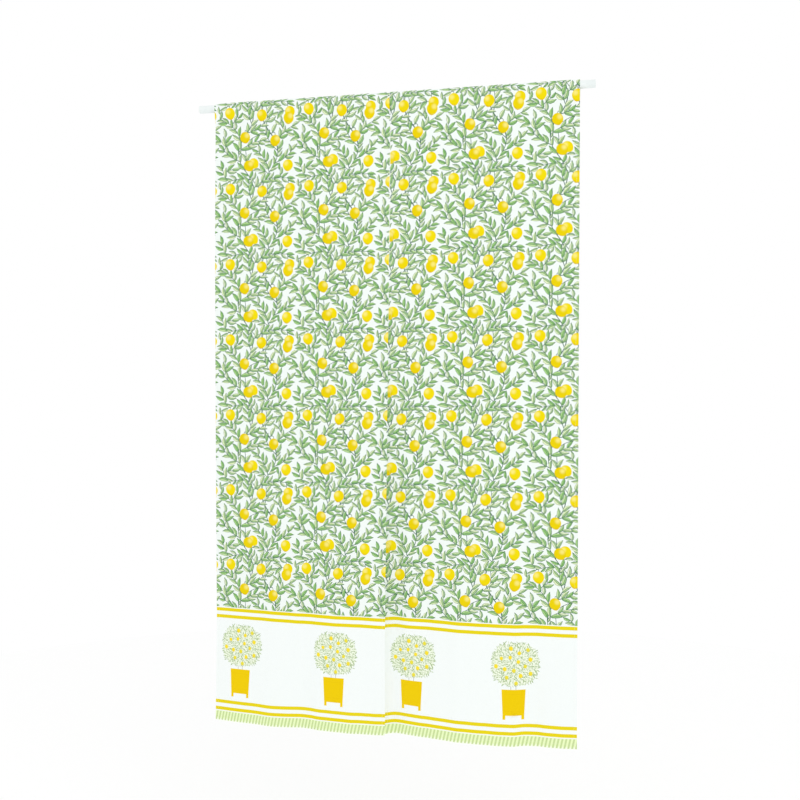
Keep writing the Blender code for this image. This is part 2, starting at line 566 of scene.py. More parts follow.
def potted_tree(middle):
    """A round-headed fruit tree in a square planter, drawn in small strokes."""
    scatter = random.Random(TREE_SEED)
    shapes = []
    for side in (-1, 1):
        x = middle + side * TREE_TRUNK_APART / 2
        top, bottom = TREE_HEAD_DROP + 30, PLANTER_TOP
        corners = [(x - 0.7, top), (x + 0.7, top), (x + 0.7, bottom), (x - 0.7, bottom)]
        shapes.append(Patch("trunk_brown", corners))
    shapes.append(head_wash(middle))
    rows = round(TREE_HEAD_HEIGHT / TREE_STROKE_STEP)
    columns = round(TREE_HEAD_WIDTH / TREE_STROKE_STEP)
    for row in range(rows):
        for column in range(columns):
            across = (column + 0.5 + scatter.uniform(-0.42, 0.42)) / columns * 2 - 1
            up = 1 - (row + 0.5 + scatter.uniform(-0.42, 0.42)) / rows * 2
            heading = math.atan2(across, up) + scatter.uniform(-1.1, 1.1)
            tone = scatter.uniform(PALEST_STROKE, 1.0)
            if abs(across) ** TREE_SQUARENESS + abs(up) ** TREE_SQUARENESS < scatter.uniform(0.90, 1.06):
                shapes.append(tree_leaf(in_head(middle, across, up), heading, tone))
    for n in range(TREE_FRUITS):
        share = 0.86 * math.sqrt((n + 0.6) / TREE_FRUITS)
        angle = n * GOLDEN_ANGLE + 0.9
        x, y = in_head(middle, share * math.sin(angle), share * math.cos(angle))
        radius = TREE_FRUIT_WIDTH / 2 * scatter.uniform(0.85, 1.1)
        ring = []
        for k in range(8):
            turn = math.tau * k / 8
            ring.append((x + radius * math.sin(turn), y + 1.15 * radius * math.cos(turn)))
        shapes.append(Patch("fruit_yellow", ring, (x, y), scatter.random()))
    centre = (middle, (PLANTER_TOP + PLANTER_BOTTOM) / 2)
    shapes.append(Patch("planter_yellow", planter_outline(middle), centre))
    return shapes


def head_wash(middle):
    """Pale wash under the strokes, round with flattened sides and an uneven edge."""
    ring = []
    for n in range(TREE_WASH_SIDES):
        angle = math.tau * n / TREE_WASH_SIDES
        across, up = math.sin(angle), math.cos(angle)
        reach = (abs(across) ** TREE_SQUARENESS + abs(up) ** TREE_SQUARENESS) ** (-1 / TREE_SQUARENESS)
        reach *= TREE_WASH_SIZE + 0.08 * (evenly_scattered(n) - 0.5)
        ring.append(in_head(middle, across * reach, up * reach))
    return Patch("tree_green", ring, tone=0.0)


def in_head(middle, across, up):
    """Place on the cloth from shares of the tree head's half width and half height."""
    x = middle + TREE_HEAD_ASIDE + TREE_HEAD_WIDTH / 2 * across
    return (x, TREE_HEAD_DROP - TREE_HEAD_HEIGHT / 2 * up)


def tree_leaf(place, heading, tone):
    length = TREE_LEAF_LENGTH * (0.75 + 0.5 * tone)
    sine, cosine = math.sin(heading), math.cos(heading)
    points = []
    for x, y in ((-0.5, 0.0), (0.05, 0.5), (0.5, 0.0), (-0.05, -0.5)):
        x, y = x * length, y * TREE_LEAF_WIDTH
        points.append((place[0] + x * sine + y * cosine, place[1] - x * cosine + y * sine))
    return Patch("tree_green", points, place, tone)


def planter_outline(middle):
    top, bottom, feet = PLANTER_TOP, PLANTER_BOTTOM, PLANTER_BOTTOM + PLANTER_FEET
    upper, lower = PLANTER_TOP_WIDTH / 2, PLANTER_BOTTOM_WIDTH / 2
    right = [(upper, top), (lower, bottom), (lower, feet), (lower - FOOT_WIDTH, feet), (lower - FOOT_WIDTH, bottom)]
    left = [(-x, y) for x, y in reversed(right)]
    return [(middle + x, y) for x, y in right + left]


def border_shapes(trees):
    """Print of the white border, from the upper stripes to the hem."""
    shapes = [band("stripe_yellow", drop - STRIPE_HEIGHT / 2, drop + STRIPE_HEIGHT / 2) for drop in STRIPE_DROPS]
    shapes.append(band("band_green", STROKE_BAND_TOP, CURTAIN_DROP))
    period = trees[1] - trees[0]
    pitch = period / round(period / STROKE_PITCH)
    first = math.floor(-trees[0] / pitch) - 1
    for n in range(math.ceil(PANEL_WIDTH / pitch) + 2):
        x = trees[0] + (first + n) * pitch
        top, bottom = STROKE_BAND_TOP + 0.6, CURTAIN_DROP - STROKE_ENDS_ABOVE_HEM
        corners = [(x + STROKE_LEAN, top), (x + STROKE_LEAN + STROKE_WIDTH, top), (x + STROKE_WIDTH, bottom), (x, bottom)]
        shapes.append(Patch("stroke_green", corners))
    for middle in trees:
        shapes += potted_tree(middle)
    return shapes


class SleevePath:
    """The cloth's way over the rod, by the length of cloth from the top of its crease."""

    def __init__(self):
        self.radius = ROD_RADIUS + CLOTH_CLEARS_ROD + CLOTH_THICKNESS
        self.crease_centre = TOP_OF_CLOTH - CREASE_RADIUS
        self.touches = math.asin((self.radius - CREASE_RADIUS) / self.crease_centre)
        stitch_far = math.hypot(PRINTED_FACE_FROM_MIDDLE, SLEEVE_DEPTH)
        stitch_angle = math.atan2(-SLEEVE_DEPTH, PRINTED_FACE_FROM_MIDDLE)
        self.leaves = stitch_angle + math.acos(self.radius / stitch_far)
        self.crease_end = CREASE_RADIUS * (math.pi / 2 - self.touches)
        slope = math.sqrt(self.crease_centre**2 - (self.radius - CREASE_RADIUS) ** 2)
        self.slope_end = self.crease_end + slope
        self.cheek_end = self.slope_end + self.radius * (self.touches - self.leaves)
        self.stitches = self.cheek_end + math.sqrt(stitch_far**2 - self.radius**2)
        self.slack = self.stitches - (TOP_OF_CLOTH + SLEEVE_DEPTH)

    def place(self, length):
        """Distances out from the rod's middle plane and up from its axis, both in arrays."""
        crease = math.pi / 2 - np.minimum(length, self.crease_end) / CREASE_RADIUS
        out = CREASE_RADIUS * np.cos(crease)
        up = self.crease_centre + CREASE_RADIUS * np.sin(crease)
        past = np.clip(length - self.crease_end, 0, self.slope_end - self.crease_end)
        out = out + past * math.sin(self.touches)
        up = up - past * math.cos(self.touches)
        cheek = self.touches - (length - self.slope_end) / self.radius
        on_cheek = length > self.slope_end
        out = np.where(on_cheek, self.radius * np.cos(cheek), out)
        up = np.where(on_cheek, self.radius * np.sin(cheek), up)
        share = (length - self.cheek_end) / (self.stitches - self.cheek_end)
        below = length > self.cheek_end
        leave_out, leave_up = self.radius * math.cos(self.leaves), self.radius * math.sin(self.leaves)
        out = np.where(below, leave_out + (PRINTED_FACE_FROM_MIDDLE - leave_out) * np.minimum(share, 1), out)
        up = np.where(below, leave_up + (-SLEEVE_DEPTH - leave_up) * np.minimum(share, 1), up)
        up = up - np.maximum(length - self.stitches, 0)
        return out, up

    def lengths(self):
        """Lengths where the sleeve needs a row of points, from the crease to the stitches."""
        crease = [self.crease_end * n / 2 for n in range(3)]
        cheek = [self.slope_end + (self.cheek_end - self.slope_end) * n / 7 for n in range(8)]
        return crease + cheek + [self.stitches]


SLEEVE = SleevePath()
TOP_CREASE = -SLEEVE.slack
FLAP_STITCHES = TOP_CREASE - SLEEVE.stitches
FLAP_END = FLAP_STITCHES - FLAP_BELOW_STITCHES
FRONT_STITCHES = TOP_CREASE + SLEEVE.stitches


def smooth_curve(table, column_name, columns, across):
    """Smooth curve through one column of a table, read at many places across."""
    rows = np.array([row[:3] for row in table], float)
    places, values = rows[:, 0], rows[:, columns.index(column_name)]
    slopes = np.empty(len(rows))
    slopes[1:-1] = (values[2:] - values[:-2]) / (places[2:] - places[:-2])
    slopes[0] = (values[1] - values[0]) / (places[1] - places[0])
    slopes[-1] = (values[-1] - values[-2]) / (places[-1] - places[-2])
    low = np.clip(np.searchsorted(places, across, side="left") - 1, 0, len(rows) - 2)
    span = places[low + 1] - places[low]
    t = (across - places[low]) / span
    return (
        (2 * t**3 - 3 * t**2 + 1) * values[low]
        + (t**3 - 2 * t**2 + t) * span * slopes[low]
        + (3 * t**2 - 2 * t**3) * values[low + 1]
        + (t**3 - t**2) * span * slopes[low + 1]
    )


def ease(share):
    share = np.clip(share, 0.0, 1.0)
    return share * share * (3 - 2 * share)


def forward_of_rod(panel, across, drop):
    """How far the hanging cloth stands towards -Y, in millimetres."""
    share_across = across / PANEL_WIDTH
    upper = smooth_curve(panel["folds"], "at_upper_stripes", FOLD_COLUMNS, share_across)
    lower = smooth_curve(panel["folds"], "at_lower_stripes", FOLD_COLUMNS, share_across)
    grown = np.clip((drop - SEWN_TOGETHER_TO) / (UPPER_STRIPES_DROP - SEWN_TOGETHER_TO), 0, 1)
    change = ease((drop - UPPER_STRIPES_DROP) / (LOWER_STRIPES_DROP - UPPER_STRIPES_DROP))
    forward = upper * grown**FOLD_GROWTH + (lower - upper) * change
    for middle, start, end, height, half_width, lean in panel["creases"]:
        length = (drop - start) / (end - start)
        fade = ease(length * 4) * (1.0 if end >= CURTAIN_DROP else ease((1 - length) * 3))
        ridge = np.exp(-(((across - middle - lean * (drop - start) * MILLIMETRE) / half_width) ** 2))
        forward = forward + height * fade * ridge * (length > 0)
    return forward


def sideways(panel, share_across, drop):
    """How far the cloth has moved along X, in millimetres."""
    slipped = np.clip((drop - SEWN_TOGETHER_TO) / (UPPER_STRIPES_DROP - SEWN_TOGETHER_TO), 0, 1)
    left = panel["drift"][0] * drop / CURTAIN_DROP - panel["slips_behind"] * slipped
    right = panel["drift"][1] * drop / CURTAIN_DROP
    return left + (right - left) * share_across


def drape(panel, across, down, lift=0.0):
    """Places in space of the printed face, in metres, or of a sheet that stands off it by a lift."""
    across, down = np.asarray(across, float), np.asarray(down, float)
    places = drape_face(panel, across, down)
    if np.any(lift):
        step = 0.5
        along = drape_face(panel, across + step, down) - drape_face(panel, across - step, down)
        below = drape_face(panel, across, down + step) - drape_face(panel, across, down - step)
        normal = np.cross(below, along)
        normal /= np.linalg.norm(normal, axis=-1, keepdims=True)
        places = places + normal * lift * MILLIMETRE
    return places


def drape_face(panel, across, down):
    length = np.abs(down - TOP_CREASE)
    front = down >= TOP_CREASE
    out, up = SLEEVE.place(length)
    drop = TOP_OF_CLOTH - up
    hangs = front & (length > SLEEVE.stitches)
    y = np.where(front, -out, out) - np.where(hangs, forward_of_rod(panel, across, drop), 0.0)
    x = panel["edge"] + across + sideways(panel, across / PANEL_WIDTH, drop)
    return np.stack([x, y, up], axis=-1) * MILLIMETRE


class FlatCloth:
    """A panel's flat cloth as outlines and lines that are meshed together. A later outline is printed
    over an earlier one."""

    def __init__(self):
        self.points, self.edges, self.outlines, self.shapes = [], [], [], []

    def add_outline(self, points, shape):
        """An outline, turned the way round that the meshing needs."""
        pairs = zip(points, points[1:] + points[:1])
        if sum(ax * by - bx * ay for (ax, ay), (bx, by) in pairs) > 0:
            points = points[::-1]
        first = len(self.points)
        self.points += points
        self.outlines.append(list(range(first, len(self.points))))
        self.shapes.append(shape)

    def add_line(self, points):
        first = len(self.points)
        self.points += points
        self.edges += [(n, n + 1) for n in range(first, len(self.points) - 1)]

    def add_grid(self):
        """Points that let the cloth bend where no print does."""
        self.grid_starts = len(self.points)
        near = {(round(x / 4), round(y / 5)) for x, y in self.points}
        columns = round(PANEL_WIDTH / COLUMN_STEP)
        rows = round((CURTAIN_DROP - FRONT_STITCHES) / ROW_STEP)
        for row in range(1, rows):
            y = FRONT_STITCHES + (CURTAIN_DROP - FRONT_STITCHES) * row / rows
            for column in range(1, columns):
                x = PANEL_WIDTH * column / columns
                if (round(x / 4), round(y / 5)) not in near:
                    self.points.append((x, y))

    def mesh(self):
        """Corner places, triangles, and the number of the outline that shows on each triangle. The cloth
        is meshed twice, and the second time leaves out every line that a later outline hides."""
        flat = [Vector((x, -y)) for x, y in self.points]
        made = delaunay_2d_cdt(flat, self.edges, self.outlines, 0, MESH_GRAIN)
        triangles, showing = [], []
        for corners, inside in zip(made[2], made[5]):
            if 0 in inside:
                over = [n for n in inside if n > 1 and (1 in inside or self.shapes[n].ink not in FIELD_INKS)]
                triangles.append(corners)
                showing.append(max(over) if over else 0)
        edges = [edge for edge, given in zip(made[1], made[4]) if given and min(given) < len(self.edges)]
        lines = SeenLines(edges + edges_between_prints(triangles, showing))
        crossings = {n for n, given in enumerate(made[3]) if not given}
        lines.drop_straight(crossings, made[0])
        grid = {n for n, given in enumerate(made[3]) if given and given[0] >= self.grid_starts}
        kept = sorted(grid | set(lines.beside))
        number = {old: new for new, old in enumerate(kept)}
        edges = [(number[a], number[b]) for a, b in lines.edges()]
        again = delaunay_2d_cdt([made[0][n] for n in kept], edges, [], 0, MESH_GRAIN)
        first = BVHTree.FromPolygons([v.to_3d() for v in made[0]], triangles)
        middles = [sum((again[0][n] for n in corners), Vector((0, 0))) / 3 for corners in again[2]]
        found = [showing[first.find_nearest(middle.to_3d())[2]] for middle in middles]
        return np.array([(v.x, -v.y) for v in again[0]]), np.array(again[2]), np.array(found)


class SeenLines:
    """Lines of a flat mesh, kept as the points beside each point."""

    def __init__(self, edges):
        self.beside = {}
        for a, b in edges:
            self.beside.setdefault(a, set()).add(b)
            self.beside.setdefault(b, set()).add(a)

    def edges(self):
        return [(a, b) for a, others in self.beside.items() for b in others if a < b]

    def drop_straight(self, crossings, places):
        """Take out each crossing that only one straight line still passes."""
        for n in sorted(crossings & set(self.beside)):
            if len(self.beside[n]) != 2:
                continue
            a, b = sorted(self.beside[n])
            there, back = places[a] - places[n], places[b] - places[n]
            if there.normalized().dot(back.normalized()) < STRAIGHT:
                del self.beside[n]
                self.beside[a] = self.beside[a] - {n} | {b}
                self.beside[b] = self.beside[b] - {n} | {a}


def edges_between_prints(triangles, showing):
    """Edges with one thing printed on one side and another on the other, and the cloth's own edges."""
    sides = {}
    for corners, shown in zip(triangles, showing):
        for a, b in zip(corners, corners[1:] + corners[:1]):
            sides.setdefault((min(a, b), max(a, b)), []).append(shown)
    return [edge for edge, shown in sides.items() if len(shown) == 1 or shown[0] != shown[1]]


MESH_GRAIN = 1e-4
STRAIGHT = -0.99999


FIELD_INKS = ("leaf_green", "stem_green", "lemon_yellow")


def frame_of(points):
    """Closed outline of a rectangle from two opposite corners, with points close enough to bend."""
    (left, top), (right, bottom) = points
    corners = [(left, top), (left, bottom), (right, bottom), (right, top), (left, top)]
    outline = []
    for start, end in zip(corners, corners[1:]):
        outline += run(start, end, COLUMN_STEP)[:-1]
    return outline


def lay_flat(panel, repeat):
    """The flat cloth of one panel with all its print."""
    cloth = FlatCloth()
    cloth.add_outline(frame_of(((0.0, FLAP_END), (PANEL_WIDTH, CURTAIN_DROP))), None)
    cloth.add_outline(frame_of(((0.0, FLAP_END), (PANEL_WIDTH, FIELD_ENDS))), None)
    first_column = math.floor(-panel["repeat_starts"] / REPEAT_WIDTH) - 1
    last_column = math.ceil((PANEL_WIDTH - panel["repeat_starts"]) / REPEAT_WIDTH) + 1
    last_row = math.ceil((FIELD_ENDS - REPEAT_STARTS_DOWN) / REPEAT_HEIGHT) + 1
    for shape in repeat.shapes():
        outline = shape.outline()
        for column in range(first_column, last_column):
            for row in range(-2, last_row):
                dx = panel["repeat_starts"] + column * REPEAT_WIDTH
                dy = REPEAT_STARTS_DOWN + row * REPEAT_HEIGHT
                moved = [(x + dx, y + dy) for x, y in outline]
                if touches_cloth(moved):
                    cloth.add_outline(moved, Placed(shape, dx, dy))
    for shape in border_shapes(panel["trees"]):
        moved = shape.outline()
        if touches_cloth(moved, CURTAIN_DROP):
            cloth.add_outline(moved, Placed(shape, 0.0, 0.0))
    add_making_lines(cloth, panel)
    cloth.add_grid()
    return cloth


def touches_cloth(outline, bottom=FIELD_ENDS):
    xs, ys = [p[0] for p in outline], [p[1] for p in outline]
    return max(xs) > 0 and min(xs) < PANEL_WIDTH and max(ys) > FLAP_END and min(ys) < bottom


class Placed:
    """A shape of the print at its place on the cloth."""

    def __init__(self, shape, dx, dy):
        self.shape = shape
        self.ink = shape.ink
        self.base = (shape.base[0] + dx, shape.base[1] + dy)


def add_making_lines(cloth, panel):
    """Lines where the cloth bends sharply, gets thicker or starts a new repeat."""
    rows = [TOP_CREASE + side * length for length in SLEEVE.lengths() for side in (-1, 1)]
    rows += [CURTAIN_DROP - BOTTOM_HEM, CURTAIN_DROP - BOTTOM_HEM - HEM_STEP, SLEEVE_HEM_ROW]
    first = math.floor((FLAP_END - REPEAT_STARTS_DOWN) / REPEAT_HEIGHT)
    last = math.ceil((FIELD_ENDS - REPEAT_STARTS_DOWN) / REPEAT_HEIGHT)
    repeats = [REPEAT_STARTS_DOWN + n * REPEAT_HEIGHT for n in range(first, last)]
    rows += [down for down in repeats if FLAP_END < down < FIELD_ENDS]
    for down in sorted(set(rows)):
        cloth.add_line(run((0.0, down), (PANEL_WIDTH, down), COLUMN_STEP))
    for across in (SIDE_HEM, SIDE_HEM + HEM_STEP, PANEL_WIDTH - SIDE_HEM - HEM_STEP, PANEL_WIDTH - SIDE_HEM):
        cloth.add_line(run((across, FLAP_END), (across, CURTAIN_DROP), ROW_STEP))
    for across in repeat_edges(panel):
        cloth.add_line(run((across, FLAP_END), (across, FIELD_ENDS), ROW_STEP))
    for across in border_edges(panel):
        cloth.add_line(run((across, FIELD_ENDS), (across, CURTAIN_DROP), ROW_STEP))


SLEEVE_HEM_ROW = FLAP_END + 3.0


def repeat_edges(panel):
    """Places across the panel where a new repeat of the all-over print starts."""
    start = panel["repeat_starts"] % REPEAT_WIDTH
    return [start + n * REPEAT_WIDTH for n in range(4) if start + n * REPEAT_WIDTH < PANEL_WIDTH]


def border_edges(panel):
    """Places across the panel that lie halfway between two trees."""
    period = panel["trees"][1] - panel["trees"][0]
    start = (panel["trees"][0] + period / 2) % period
    return [start + n * period for n in range(4) if start + n * period < PANEL_WIDTH]


def corner_motifs(cloth, showing, corners):
    """For each corner of each triangle, its place in the printed shape that shows there, which is along
    and across a leaf, or from the middle of another shape. With it come a leaf's size and the tone."""
    inside = np.zeros(corners.shape)
    size = np.zeros(corners.shape[:2])
    tone = np.full(corners.shape[:2], 0.5)
    for number in np.unique(showing):
        placed = cloth.shapes[number]
        if placed is None:
            continue
        rows = np.nonzero(showing == number)[0]
        away = corners[rows] - np.array(placed.base)
        tone[rows] = placed.shape.tone
        if placed.ink == "leaf_green":
            leaf = placed.shape
            sine, cosine = math.sin(leaf.heading), math.cos(leaf.heading)
            t = np.clip((away[..., 0] * sine - away[..., 1] * cosine) / leaf.length, 0.0, 1.0)
            aside = away[..., 0] * cosine + away[..., 1] * sine - leaf.bow * np.sin(np.pi * t)
            half = leaf_breadth(t) * leaf.length * LEAF_SLENDERNESS / 2
            e = np.clip(aside / np.maximum(half, 0.05), -1.0, 1.0)
            inside[rows] = np.stack([t, e], axis=-1)
            size[rows] = leaf.length / LONGEST_LEAF
        else:
            inside[rows] = away / SHAPE_SPAN.get(placed.ink, 10.0)
    return inside, size, tone


LONGEST_LEAF = 32.0
SHAPE_SPAN = {"lemon_yellow": 13.5, "planter_yellow": 26.0, "fruit_yellow": 3.6}

# Cells of the colour map, each as its left, lower, right and upper edge. The cloth's repeats share
# them, and the back of the cloth has its own.
MAP_CELLS = {
    ("field", "front"): (0.008, 0.470, 0.592, 0.992),
    ("border", "front"): (0.008, 0.008, 0.592, 0.455),
    ("field", "back"): (0.608, 0.560, 0.992, 0.992),
    ("border", "back"): (0.608, 0.008, 0.992, 0.545),
}


def map_places(panel, corners, back):
    """Places of the corners in the colour map. Each triangle lies within one repeat."""
    centres = corners.mean(axis=1)
    in_field = centres[:, 1] < FIELD_ENDS
    period = panel["trees"][1] - panel["trees"][0]
    start = np.where(in_field, panel["repeat_starts"], panel["trees"][0] + period / 2)
    width = np.where(in_field, REPEAT_WIDTH, period)
    top = np.where(in_field, REPEAT_STARTS_DOWN, FIELD_ENDS)
    height = np.where(in_field, REPEAT_HEIGHT, CURTAIN_DROP - FIELD_ENDS)
    column = np.floor((centres[:, 0] - start) / width)
    row = np.where(in_field, np.floor((centres[:, 1] - top) / height), 0.0)
    u = (corners[..., 0] - (start + column * width)[:, None]) / width[:, None]
    v = 1.0 - (corners[..., 1] - (top + row * height)[:, None]) / height[:, None]
    places = np.empty(corners.shape)
    for (region, side), (left, low, right, high) in MAP_CELLS.items():
        here = (in_field == (region == "field")) & (back == (side == "back"))
        places[here, :, 0] = left + np.clip(u[here], 0, 1) * (right - left)
        places[here, :, 1] = low + np.clip(v[here], 0, 1) * (high - low)
    return places


def thickness_share(across, down):
    """Share of the hem's thickness at places on the flat cloth: 1 in a hem, 0 elsewhere."""
    side = np.minimum(across, PANEL_WIDTH - across) <= SIDE_HEM + 0.01
    bottom = down >= CURTAIN_DROP - BOTTOM_HEM - 0.01
    return (side & (down > FRONT_STITCHES)) | bottom


def write_map(mesh, name, values):
    layer = mesh.uv_layers.new(name=name)
    layer.data.foreach_set("uv", np.ascontiguousarray(values, dtype=np.float32).ravel())


def make_cloth(name, node, repeat, inks):
    """One panel of printed cloth, as a sheet with thickness."""
    panel = PANELS[node]
    cloth = lay_flat(panel, repeat)
    places, triangles, showing = cloth.mesh()
    mesh = bpy.data.meshes.new(name)
    mesh.from_pydata(drape(panel, places[:, 0], places[:, 1]).tolist(), [], triangles.tolist())
    slots = np.array([INKS.index(shape.ink) if shape else 0 for shape in cloth.shapes])
    mesh.polygons.foreach_set("material_index", slots[showing].astype(np.int32))
    corners = places[triangles]
    inside, size, tone = corner_motifs(cloth, showing, corners)
    write_map(mesh, "cloth", corners)
    write_map(mesh, "motif", inside)
    write_map(mesh, "ink", np.stack([size, tone], axis=-1))
    mesh.shade_smooth()
    for ink in inks:
        mesh.materials.append(ink)
    piece = bpy.data.objects.new(name, mesh)
    bpy.context.scene.collection.objects.link(piece)
    hem = piece.vertex_groups.new(name="hem")
    hem.add(np.nonzero(thickness_share(places[:, 0], places[:, 1]))[0].tolist(), 1.0, "REPLACE")
    body = piece.modifiers.new("cloth_thickness", "SOLIDIFY")
    body.thickness = HEM_THICKNESS * MILLIMETRE
    body.thickness_vertex_group = CLOTH_THICKNESS / HEM_THICKNESS
    body.vertex_group = "hem"
    body.offset = -1.0
    body.material_offset = len(INKS)
    body.material_offset_rim = 0
    apply_modifiers(piece)
    piece.data.set_sharp_from_angle(angle=SHARP_EDGE)
    dress_cloth_faces(piece, panel)
    return piece


def apply_modifiers(piece):
    """Turn a piece's evaluated shape into its own plain mesh."""
    graph = bpy.context.evaluated_depsgraph_get()
    mesh = bpy.data.meshes.new_from_object(piece.evaluated_get(graph))
    piece.modifiers.clear()
    old = piece.data
    piece.data = mesh
    bpy.data.meshes.remove(old)
    mesh.name = piece.name


def dress_cloth_faces(piece, panel):
    """Show the printed face where a hem is turned to the back, and write the colour map."""
    mesh = piece.data
    flat = np.empty(len(mesh.loops) * 2, np.float32)
    mesh.uv_layers["cloth"].data.foreach_get("uv", flat)
    slots = np.empty(len(mesh.polygons), np.int32)
    mesh.polygons.foreach_get("material_index", slots)
    starts = np.empty(len(mesh.polygons), np.int32)
    mesh.polygons.foreach_get("loop_start", starts)
    totals = np.empty(len(mesh.polygons), np.int32)
    mesh.polygons.foreach_get("loop_total", totals)
    flat = flat.reshape(-1, 2)
    result = np.empty(flat.shape)
    for total in np.unique(totals):
        faces = np.nonzero(totals == total)[0]
        loops = starts[faces][:, None] + np.arange(total)
        middles = flat[loops].mean(axis=1)
        turned = (slots[faces] >= len(INKS)) & thickness_share(middles[:, 0], middles[:, 1])
        slots[faces[turned]] -= len(INKS)
        result[loops] = map_places(panel, flat[loops], slots[faces] >= len(INKS))
    mesh.polygons.foreach_set("material_index", slots)
    write_map(mesh, "OFBake", result)


class Signal:
    """A number in a material, so that its maths reads as an expression."""

    def __init__(self, finish, socket):
        self.finish = finish
        self.socket = socket

    def __add__(self, other):
        return self.finish.maths("ADD", self, other)

    def __sub__(self, other):
        return self.finish.maths("SUBTRACT", self, other)

    def __rsub__(self, other):
        return self.finish.maths("SUBTRACT", other, self)

    def __mul__(self, other):
        return self.finish.maths("MULTIPLY", self, other)

    def __truediv__(self, other):
        return self.finish.maths("DIVIDE", self, other)

    def __pow__(self, other):
        return self.finish.maths("POWER", self, other)

    def __abs__(self):
        return self.finish.maths("ABSOLUTE", self)

    __radd__ = __add__
    __rmul__ = __mul__

    def sine(self):
        return self.finish.maths("SINE", self)

    def root(self):
        return self.finish.maths("SQRT", self)

    def at_least(self, other):
        return self.finish.maths("MAXIMUM", self, other)

    def at_most(self, other):
        return self.finish.maths("MINIMUM", self, other)

    def rise(self, low, high):
        """0 below low, 1 above high, and a smooth rise between. It falls where low is above high."""
        settings = {"interpolation_type": "SMOOTHSTEP", "clamp": True}
        values = {"Value": self, "From Min": low, "From Max": high}
        return Signal(self.finish, self.finish.node("ShaderNodeMapRange", settings, values).outputs["Result"])


class Finish:
    """A material on the standard surface shader."""

    def __init__(self, name, roughness=0.8, specular=0.35):
        self.material = bpy.data.materials.new(name)
        self.material.use_nodes = True
        self.tree = self.material.node_tree
        self.surface = self.tree.nodes["Principled BSDF"]
        self.surface.inputs["Roughness"].default_value = roughness
        self.surface.inputs["Specular IOR Level"].default_value = specular

    def node(self, kind, settings=None, values=None):
        node = self.tree.nodes.new(kind)
        for name, value in (settings or {}).items():
            setattr(node, name, value)
        for name, value in (values or {}).items():
            self.feed(node.inputs[name], value)
        return node

    def feed(self, socket, value):
        if isinstance(value, Signal):
            value = value.socket
        if isinstance(value, bpy.types.NodeSocket):
            self.tree.links.new(value, socket)
        else:
            socket.default_value = value

    def maths(self, operation, *values):
        node = self.node("ShaderNodeMath", {"operation": operation}, dict(enumerate(values)))
        return Signal(self, node.outputs[0])

    def place(self, map_name):
        """The two numbers of one of the piece's own maps."""
        place = self.node("ShaderNodeUVMap", {"uv_map": map_name})
        parts = self.node("ShaderNodeSeparateXYZ", None, {0: place.outputs["UV"]})
        return Signal(self, parts.outputs["X"]), Signal(self, parts.outputs["Y"])

    def join(self, x, y, z=0.0):
        return self.node("ShaderNodeCombineXYZ", None, {"X": x, "Y": y, "Z": z}).outputs["Vector"]

    def noise(self, vector, scale, detail=2.0):
        values = {"Vector": vector, "Scale": scale, "Detail": detail}
        return Signal(self, self.node("ShaderNodeTexNoise", None, values).outputs["Fac"])

    def mix(self, factor, first, second):
        """Colour between two colours."""
        node = self.node("ShaderNodeMix", {"data_type": "RGBA"}, None)
        self.feed(node.inputs["Factor"], factor)
        self.feed(node.inputs[6], first)
        self.feed(node.inputs[7], second)
        return node.outputs[2]

    def set(self, name, value):
        self.feed(self.surface.inputs[name], value)

    def bump(self, height, distance, strength=1.0):
        values = {"Height": height, "Distance": distance, "Strength": strength}
        self.set("Normal", self.node("ShaderNodeBump", None, values).outputs["Normal"])


def colour(red, green, blue):
    """Colour as light, from the three numbers of 0 to 255 that a screen shows."""
    parts = []
    for part in (red, green, blue):
        part /= 255
        parts.append(part / 12.92 if part <= 0.04045 else ((part + 0.055) / 1.055) ** 2.4)
    return (*parts, 1.0)


THREAD_PITCH = 0.6
WEAVE_HEIGHT = 0.00008
BACK_FADE = 0.40
CLOTH_WHITE = colour(248, 252, 251)
FIELD_WHITE = colour(243, 250, 246)
# Painted shade for the gaps between the threads of the weave.
PAINTED_GAP_SHADE = colour(238, 244, 241)


def weave(finish):
    """Height of a plain weave, from 0 in the gaps between threads to 1 on their crowns."""
    across, down = finish.place("cloth")
    warp = (across * (math.pi / THREAD_PITCH)).sine()
    weft = (down * (math.pi / THREAD_PITCH)).sine()
    return abs(warp * weft)


def leaf_colour(finish):
    """Pale leaf with a dark outline, midrib and slanting veins, darker on one side."""
    along, aside = finish.place("motif")
    size, tone = finish.place("ink")
    half = along**0.75 * (1 - along) ** 0.95 * size * (3.21 * LONGEST_LEAF * LEAF_SLENDERNESS / 2)
    from_rib = abs(aside) * half
    from_edge = half - from_rib
    body = finish.mix(tone.rise(0.0, 0.8), colour(240, 250, 204), colour(166, 214, 130))
    body = finish.mix(tone.rise(0.80, 0.84), body, colour(240, 248, 214))
    body = finish.mix(aside.rise(-0.10, 0.10) * 0.60, body, colour(106, 172, 92))
    body = finish.mix(along.rise(0.34, 0.02) * 0.55, body, colour(80, 142, 92))
    body = finish.mix(along.rise(0.76, 0.98) * 0.5, body, colour(112, 150, 100))
    streaks = finish.noise(finish.join(along * 16.0, aside * 5.0, tone * 9.0), 1.0)
    body = finish.mix(streaks.rise(0.50, 0.72) * 0.45, body, colour(226, 238, 196))
    veins = (along * size * 68.0 - from_rib * 2.1).sine().rise(0.35, 0.95)
    body = finish.mix(veins * 0.46, body, colour(90, 144, 80))
    dark = colour(42, 100, 66)
    body = finish.mix(from_rib.rise(0.70, 0.30) * 0.80, body, dark)
    shaded_side = aside.rise(-0.05, 0.05)
    return finish.mix((from_edge - shaded_side * 0.6).rise(0.90, 0.45) * 0.88, body, dark)


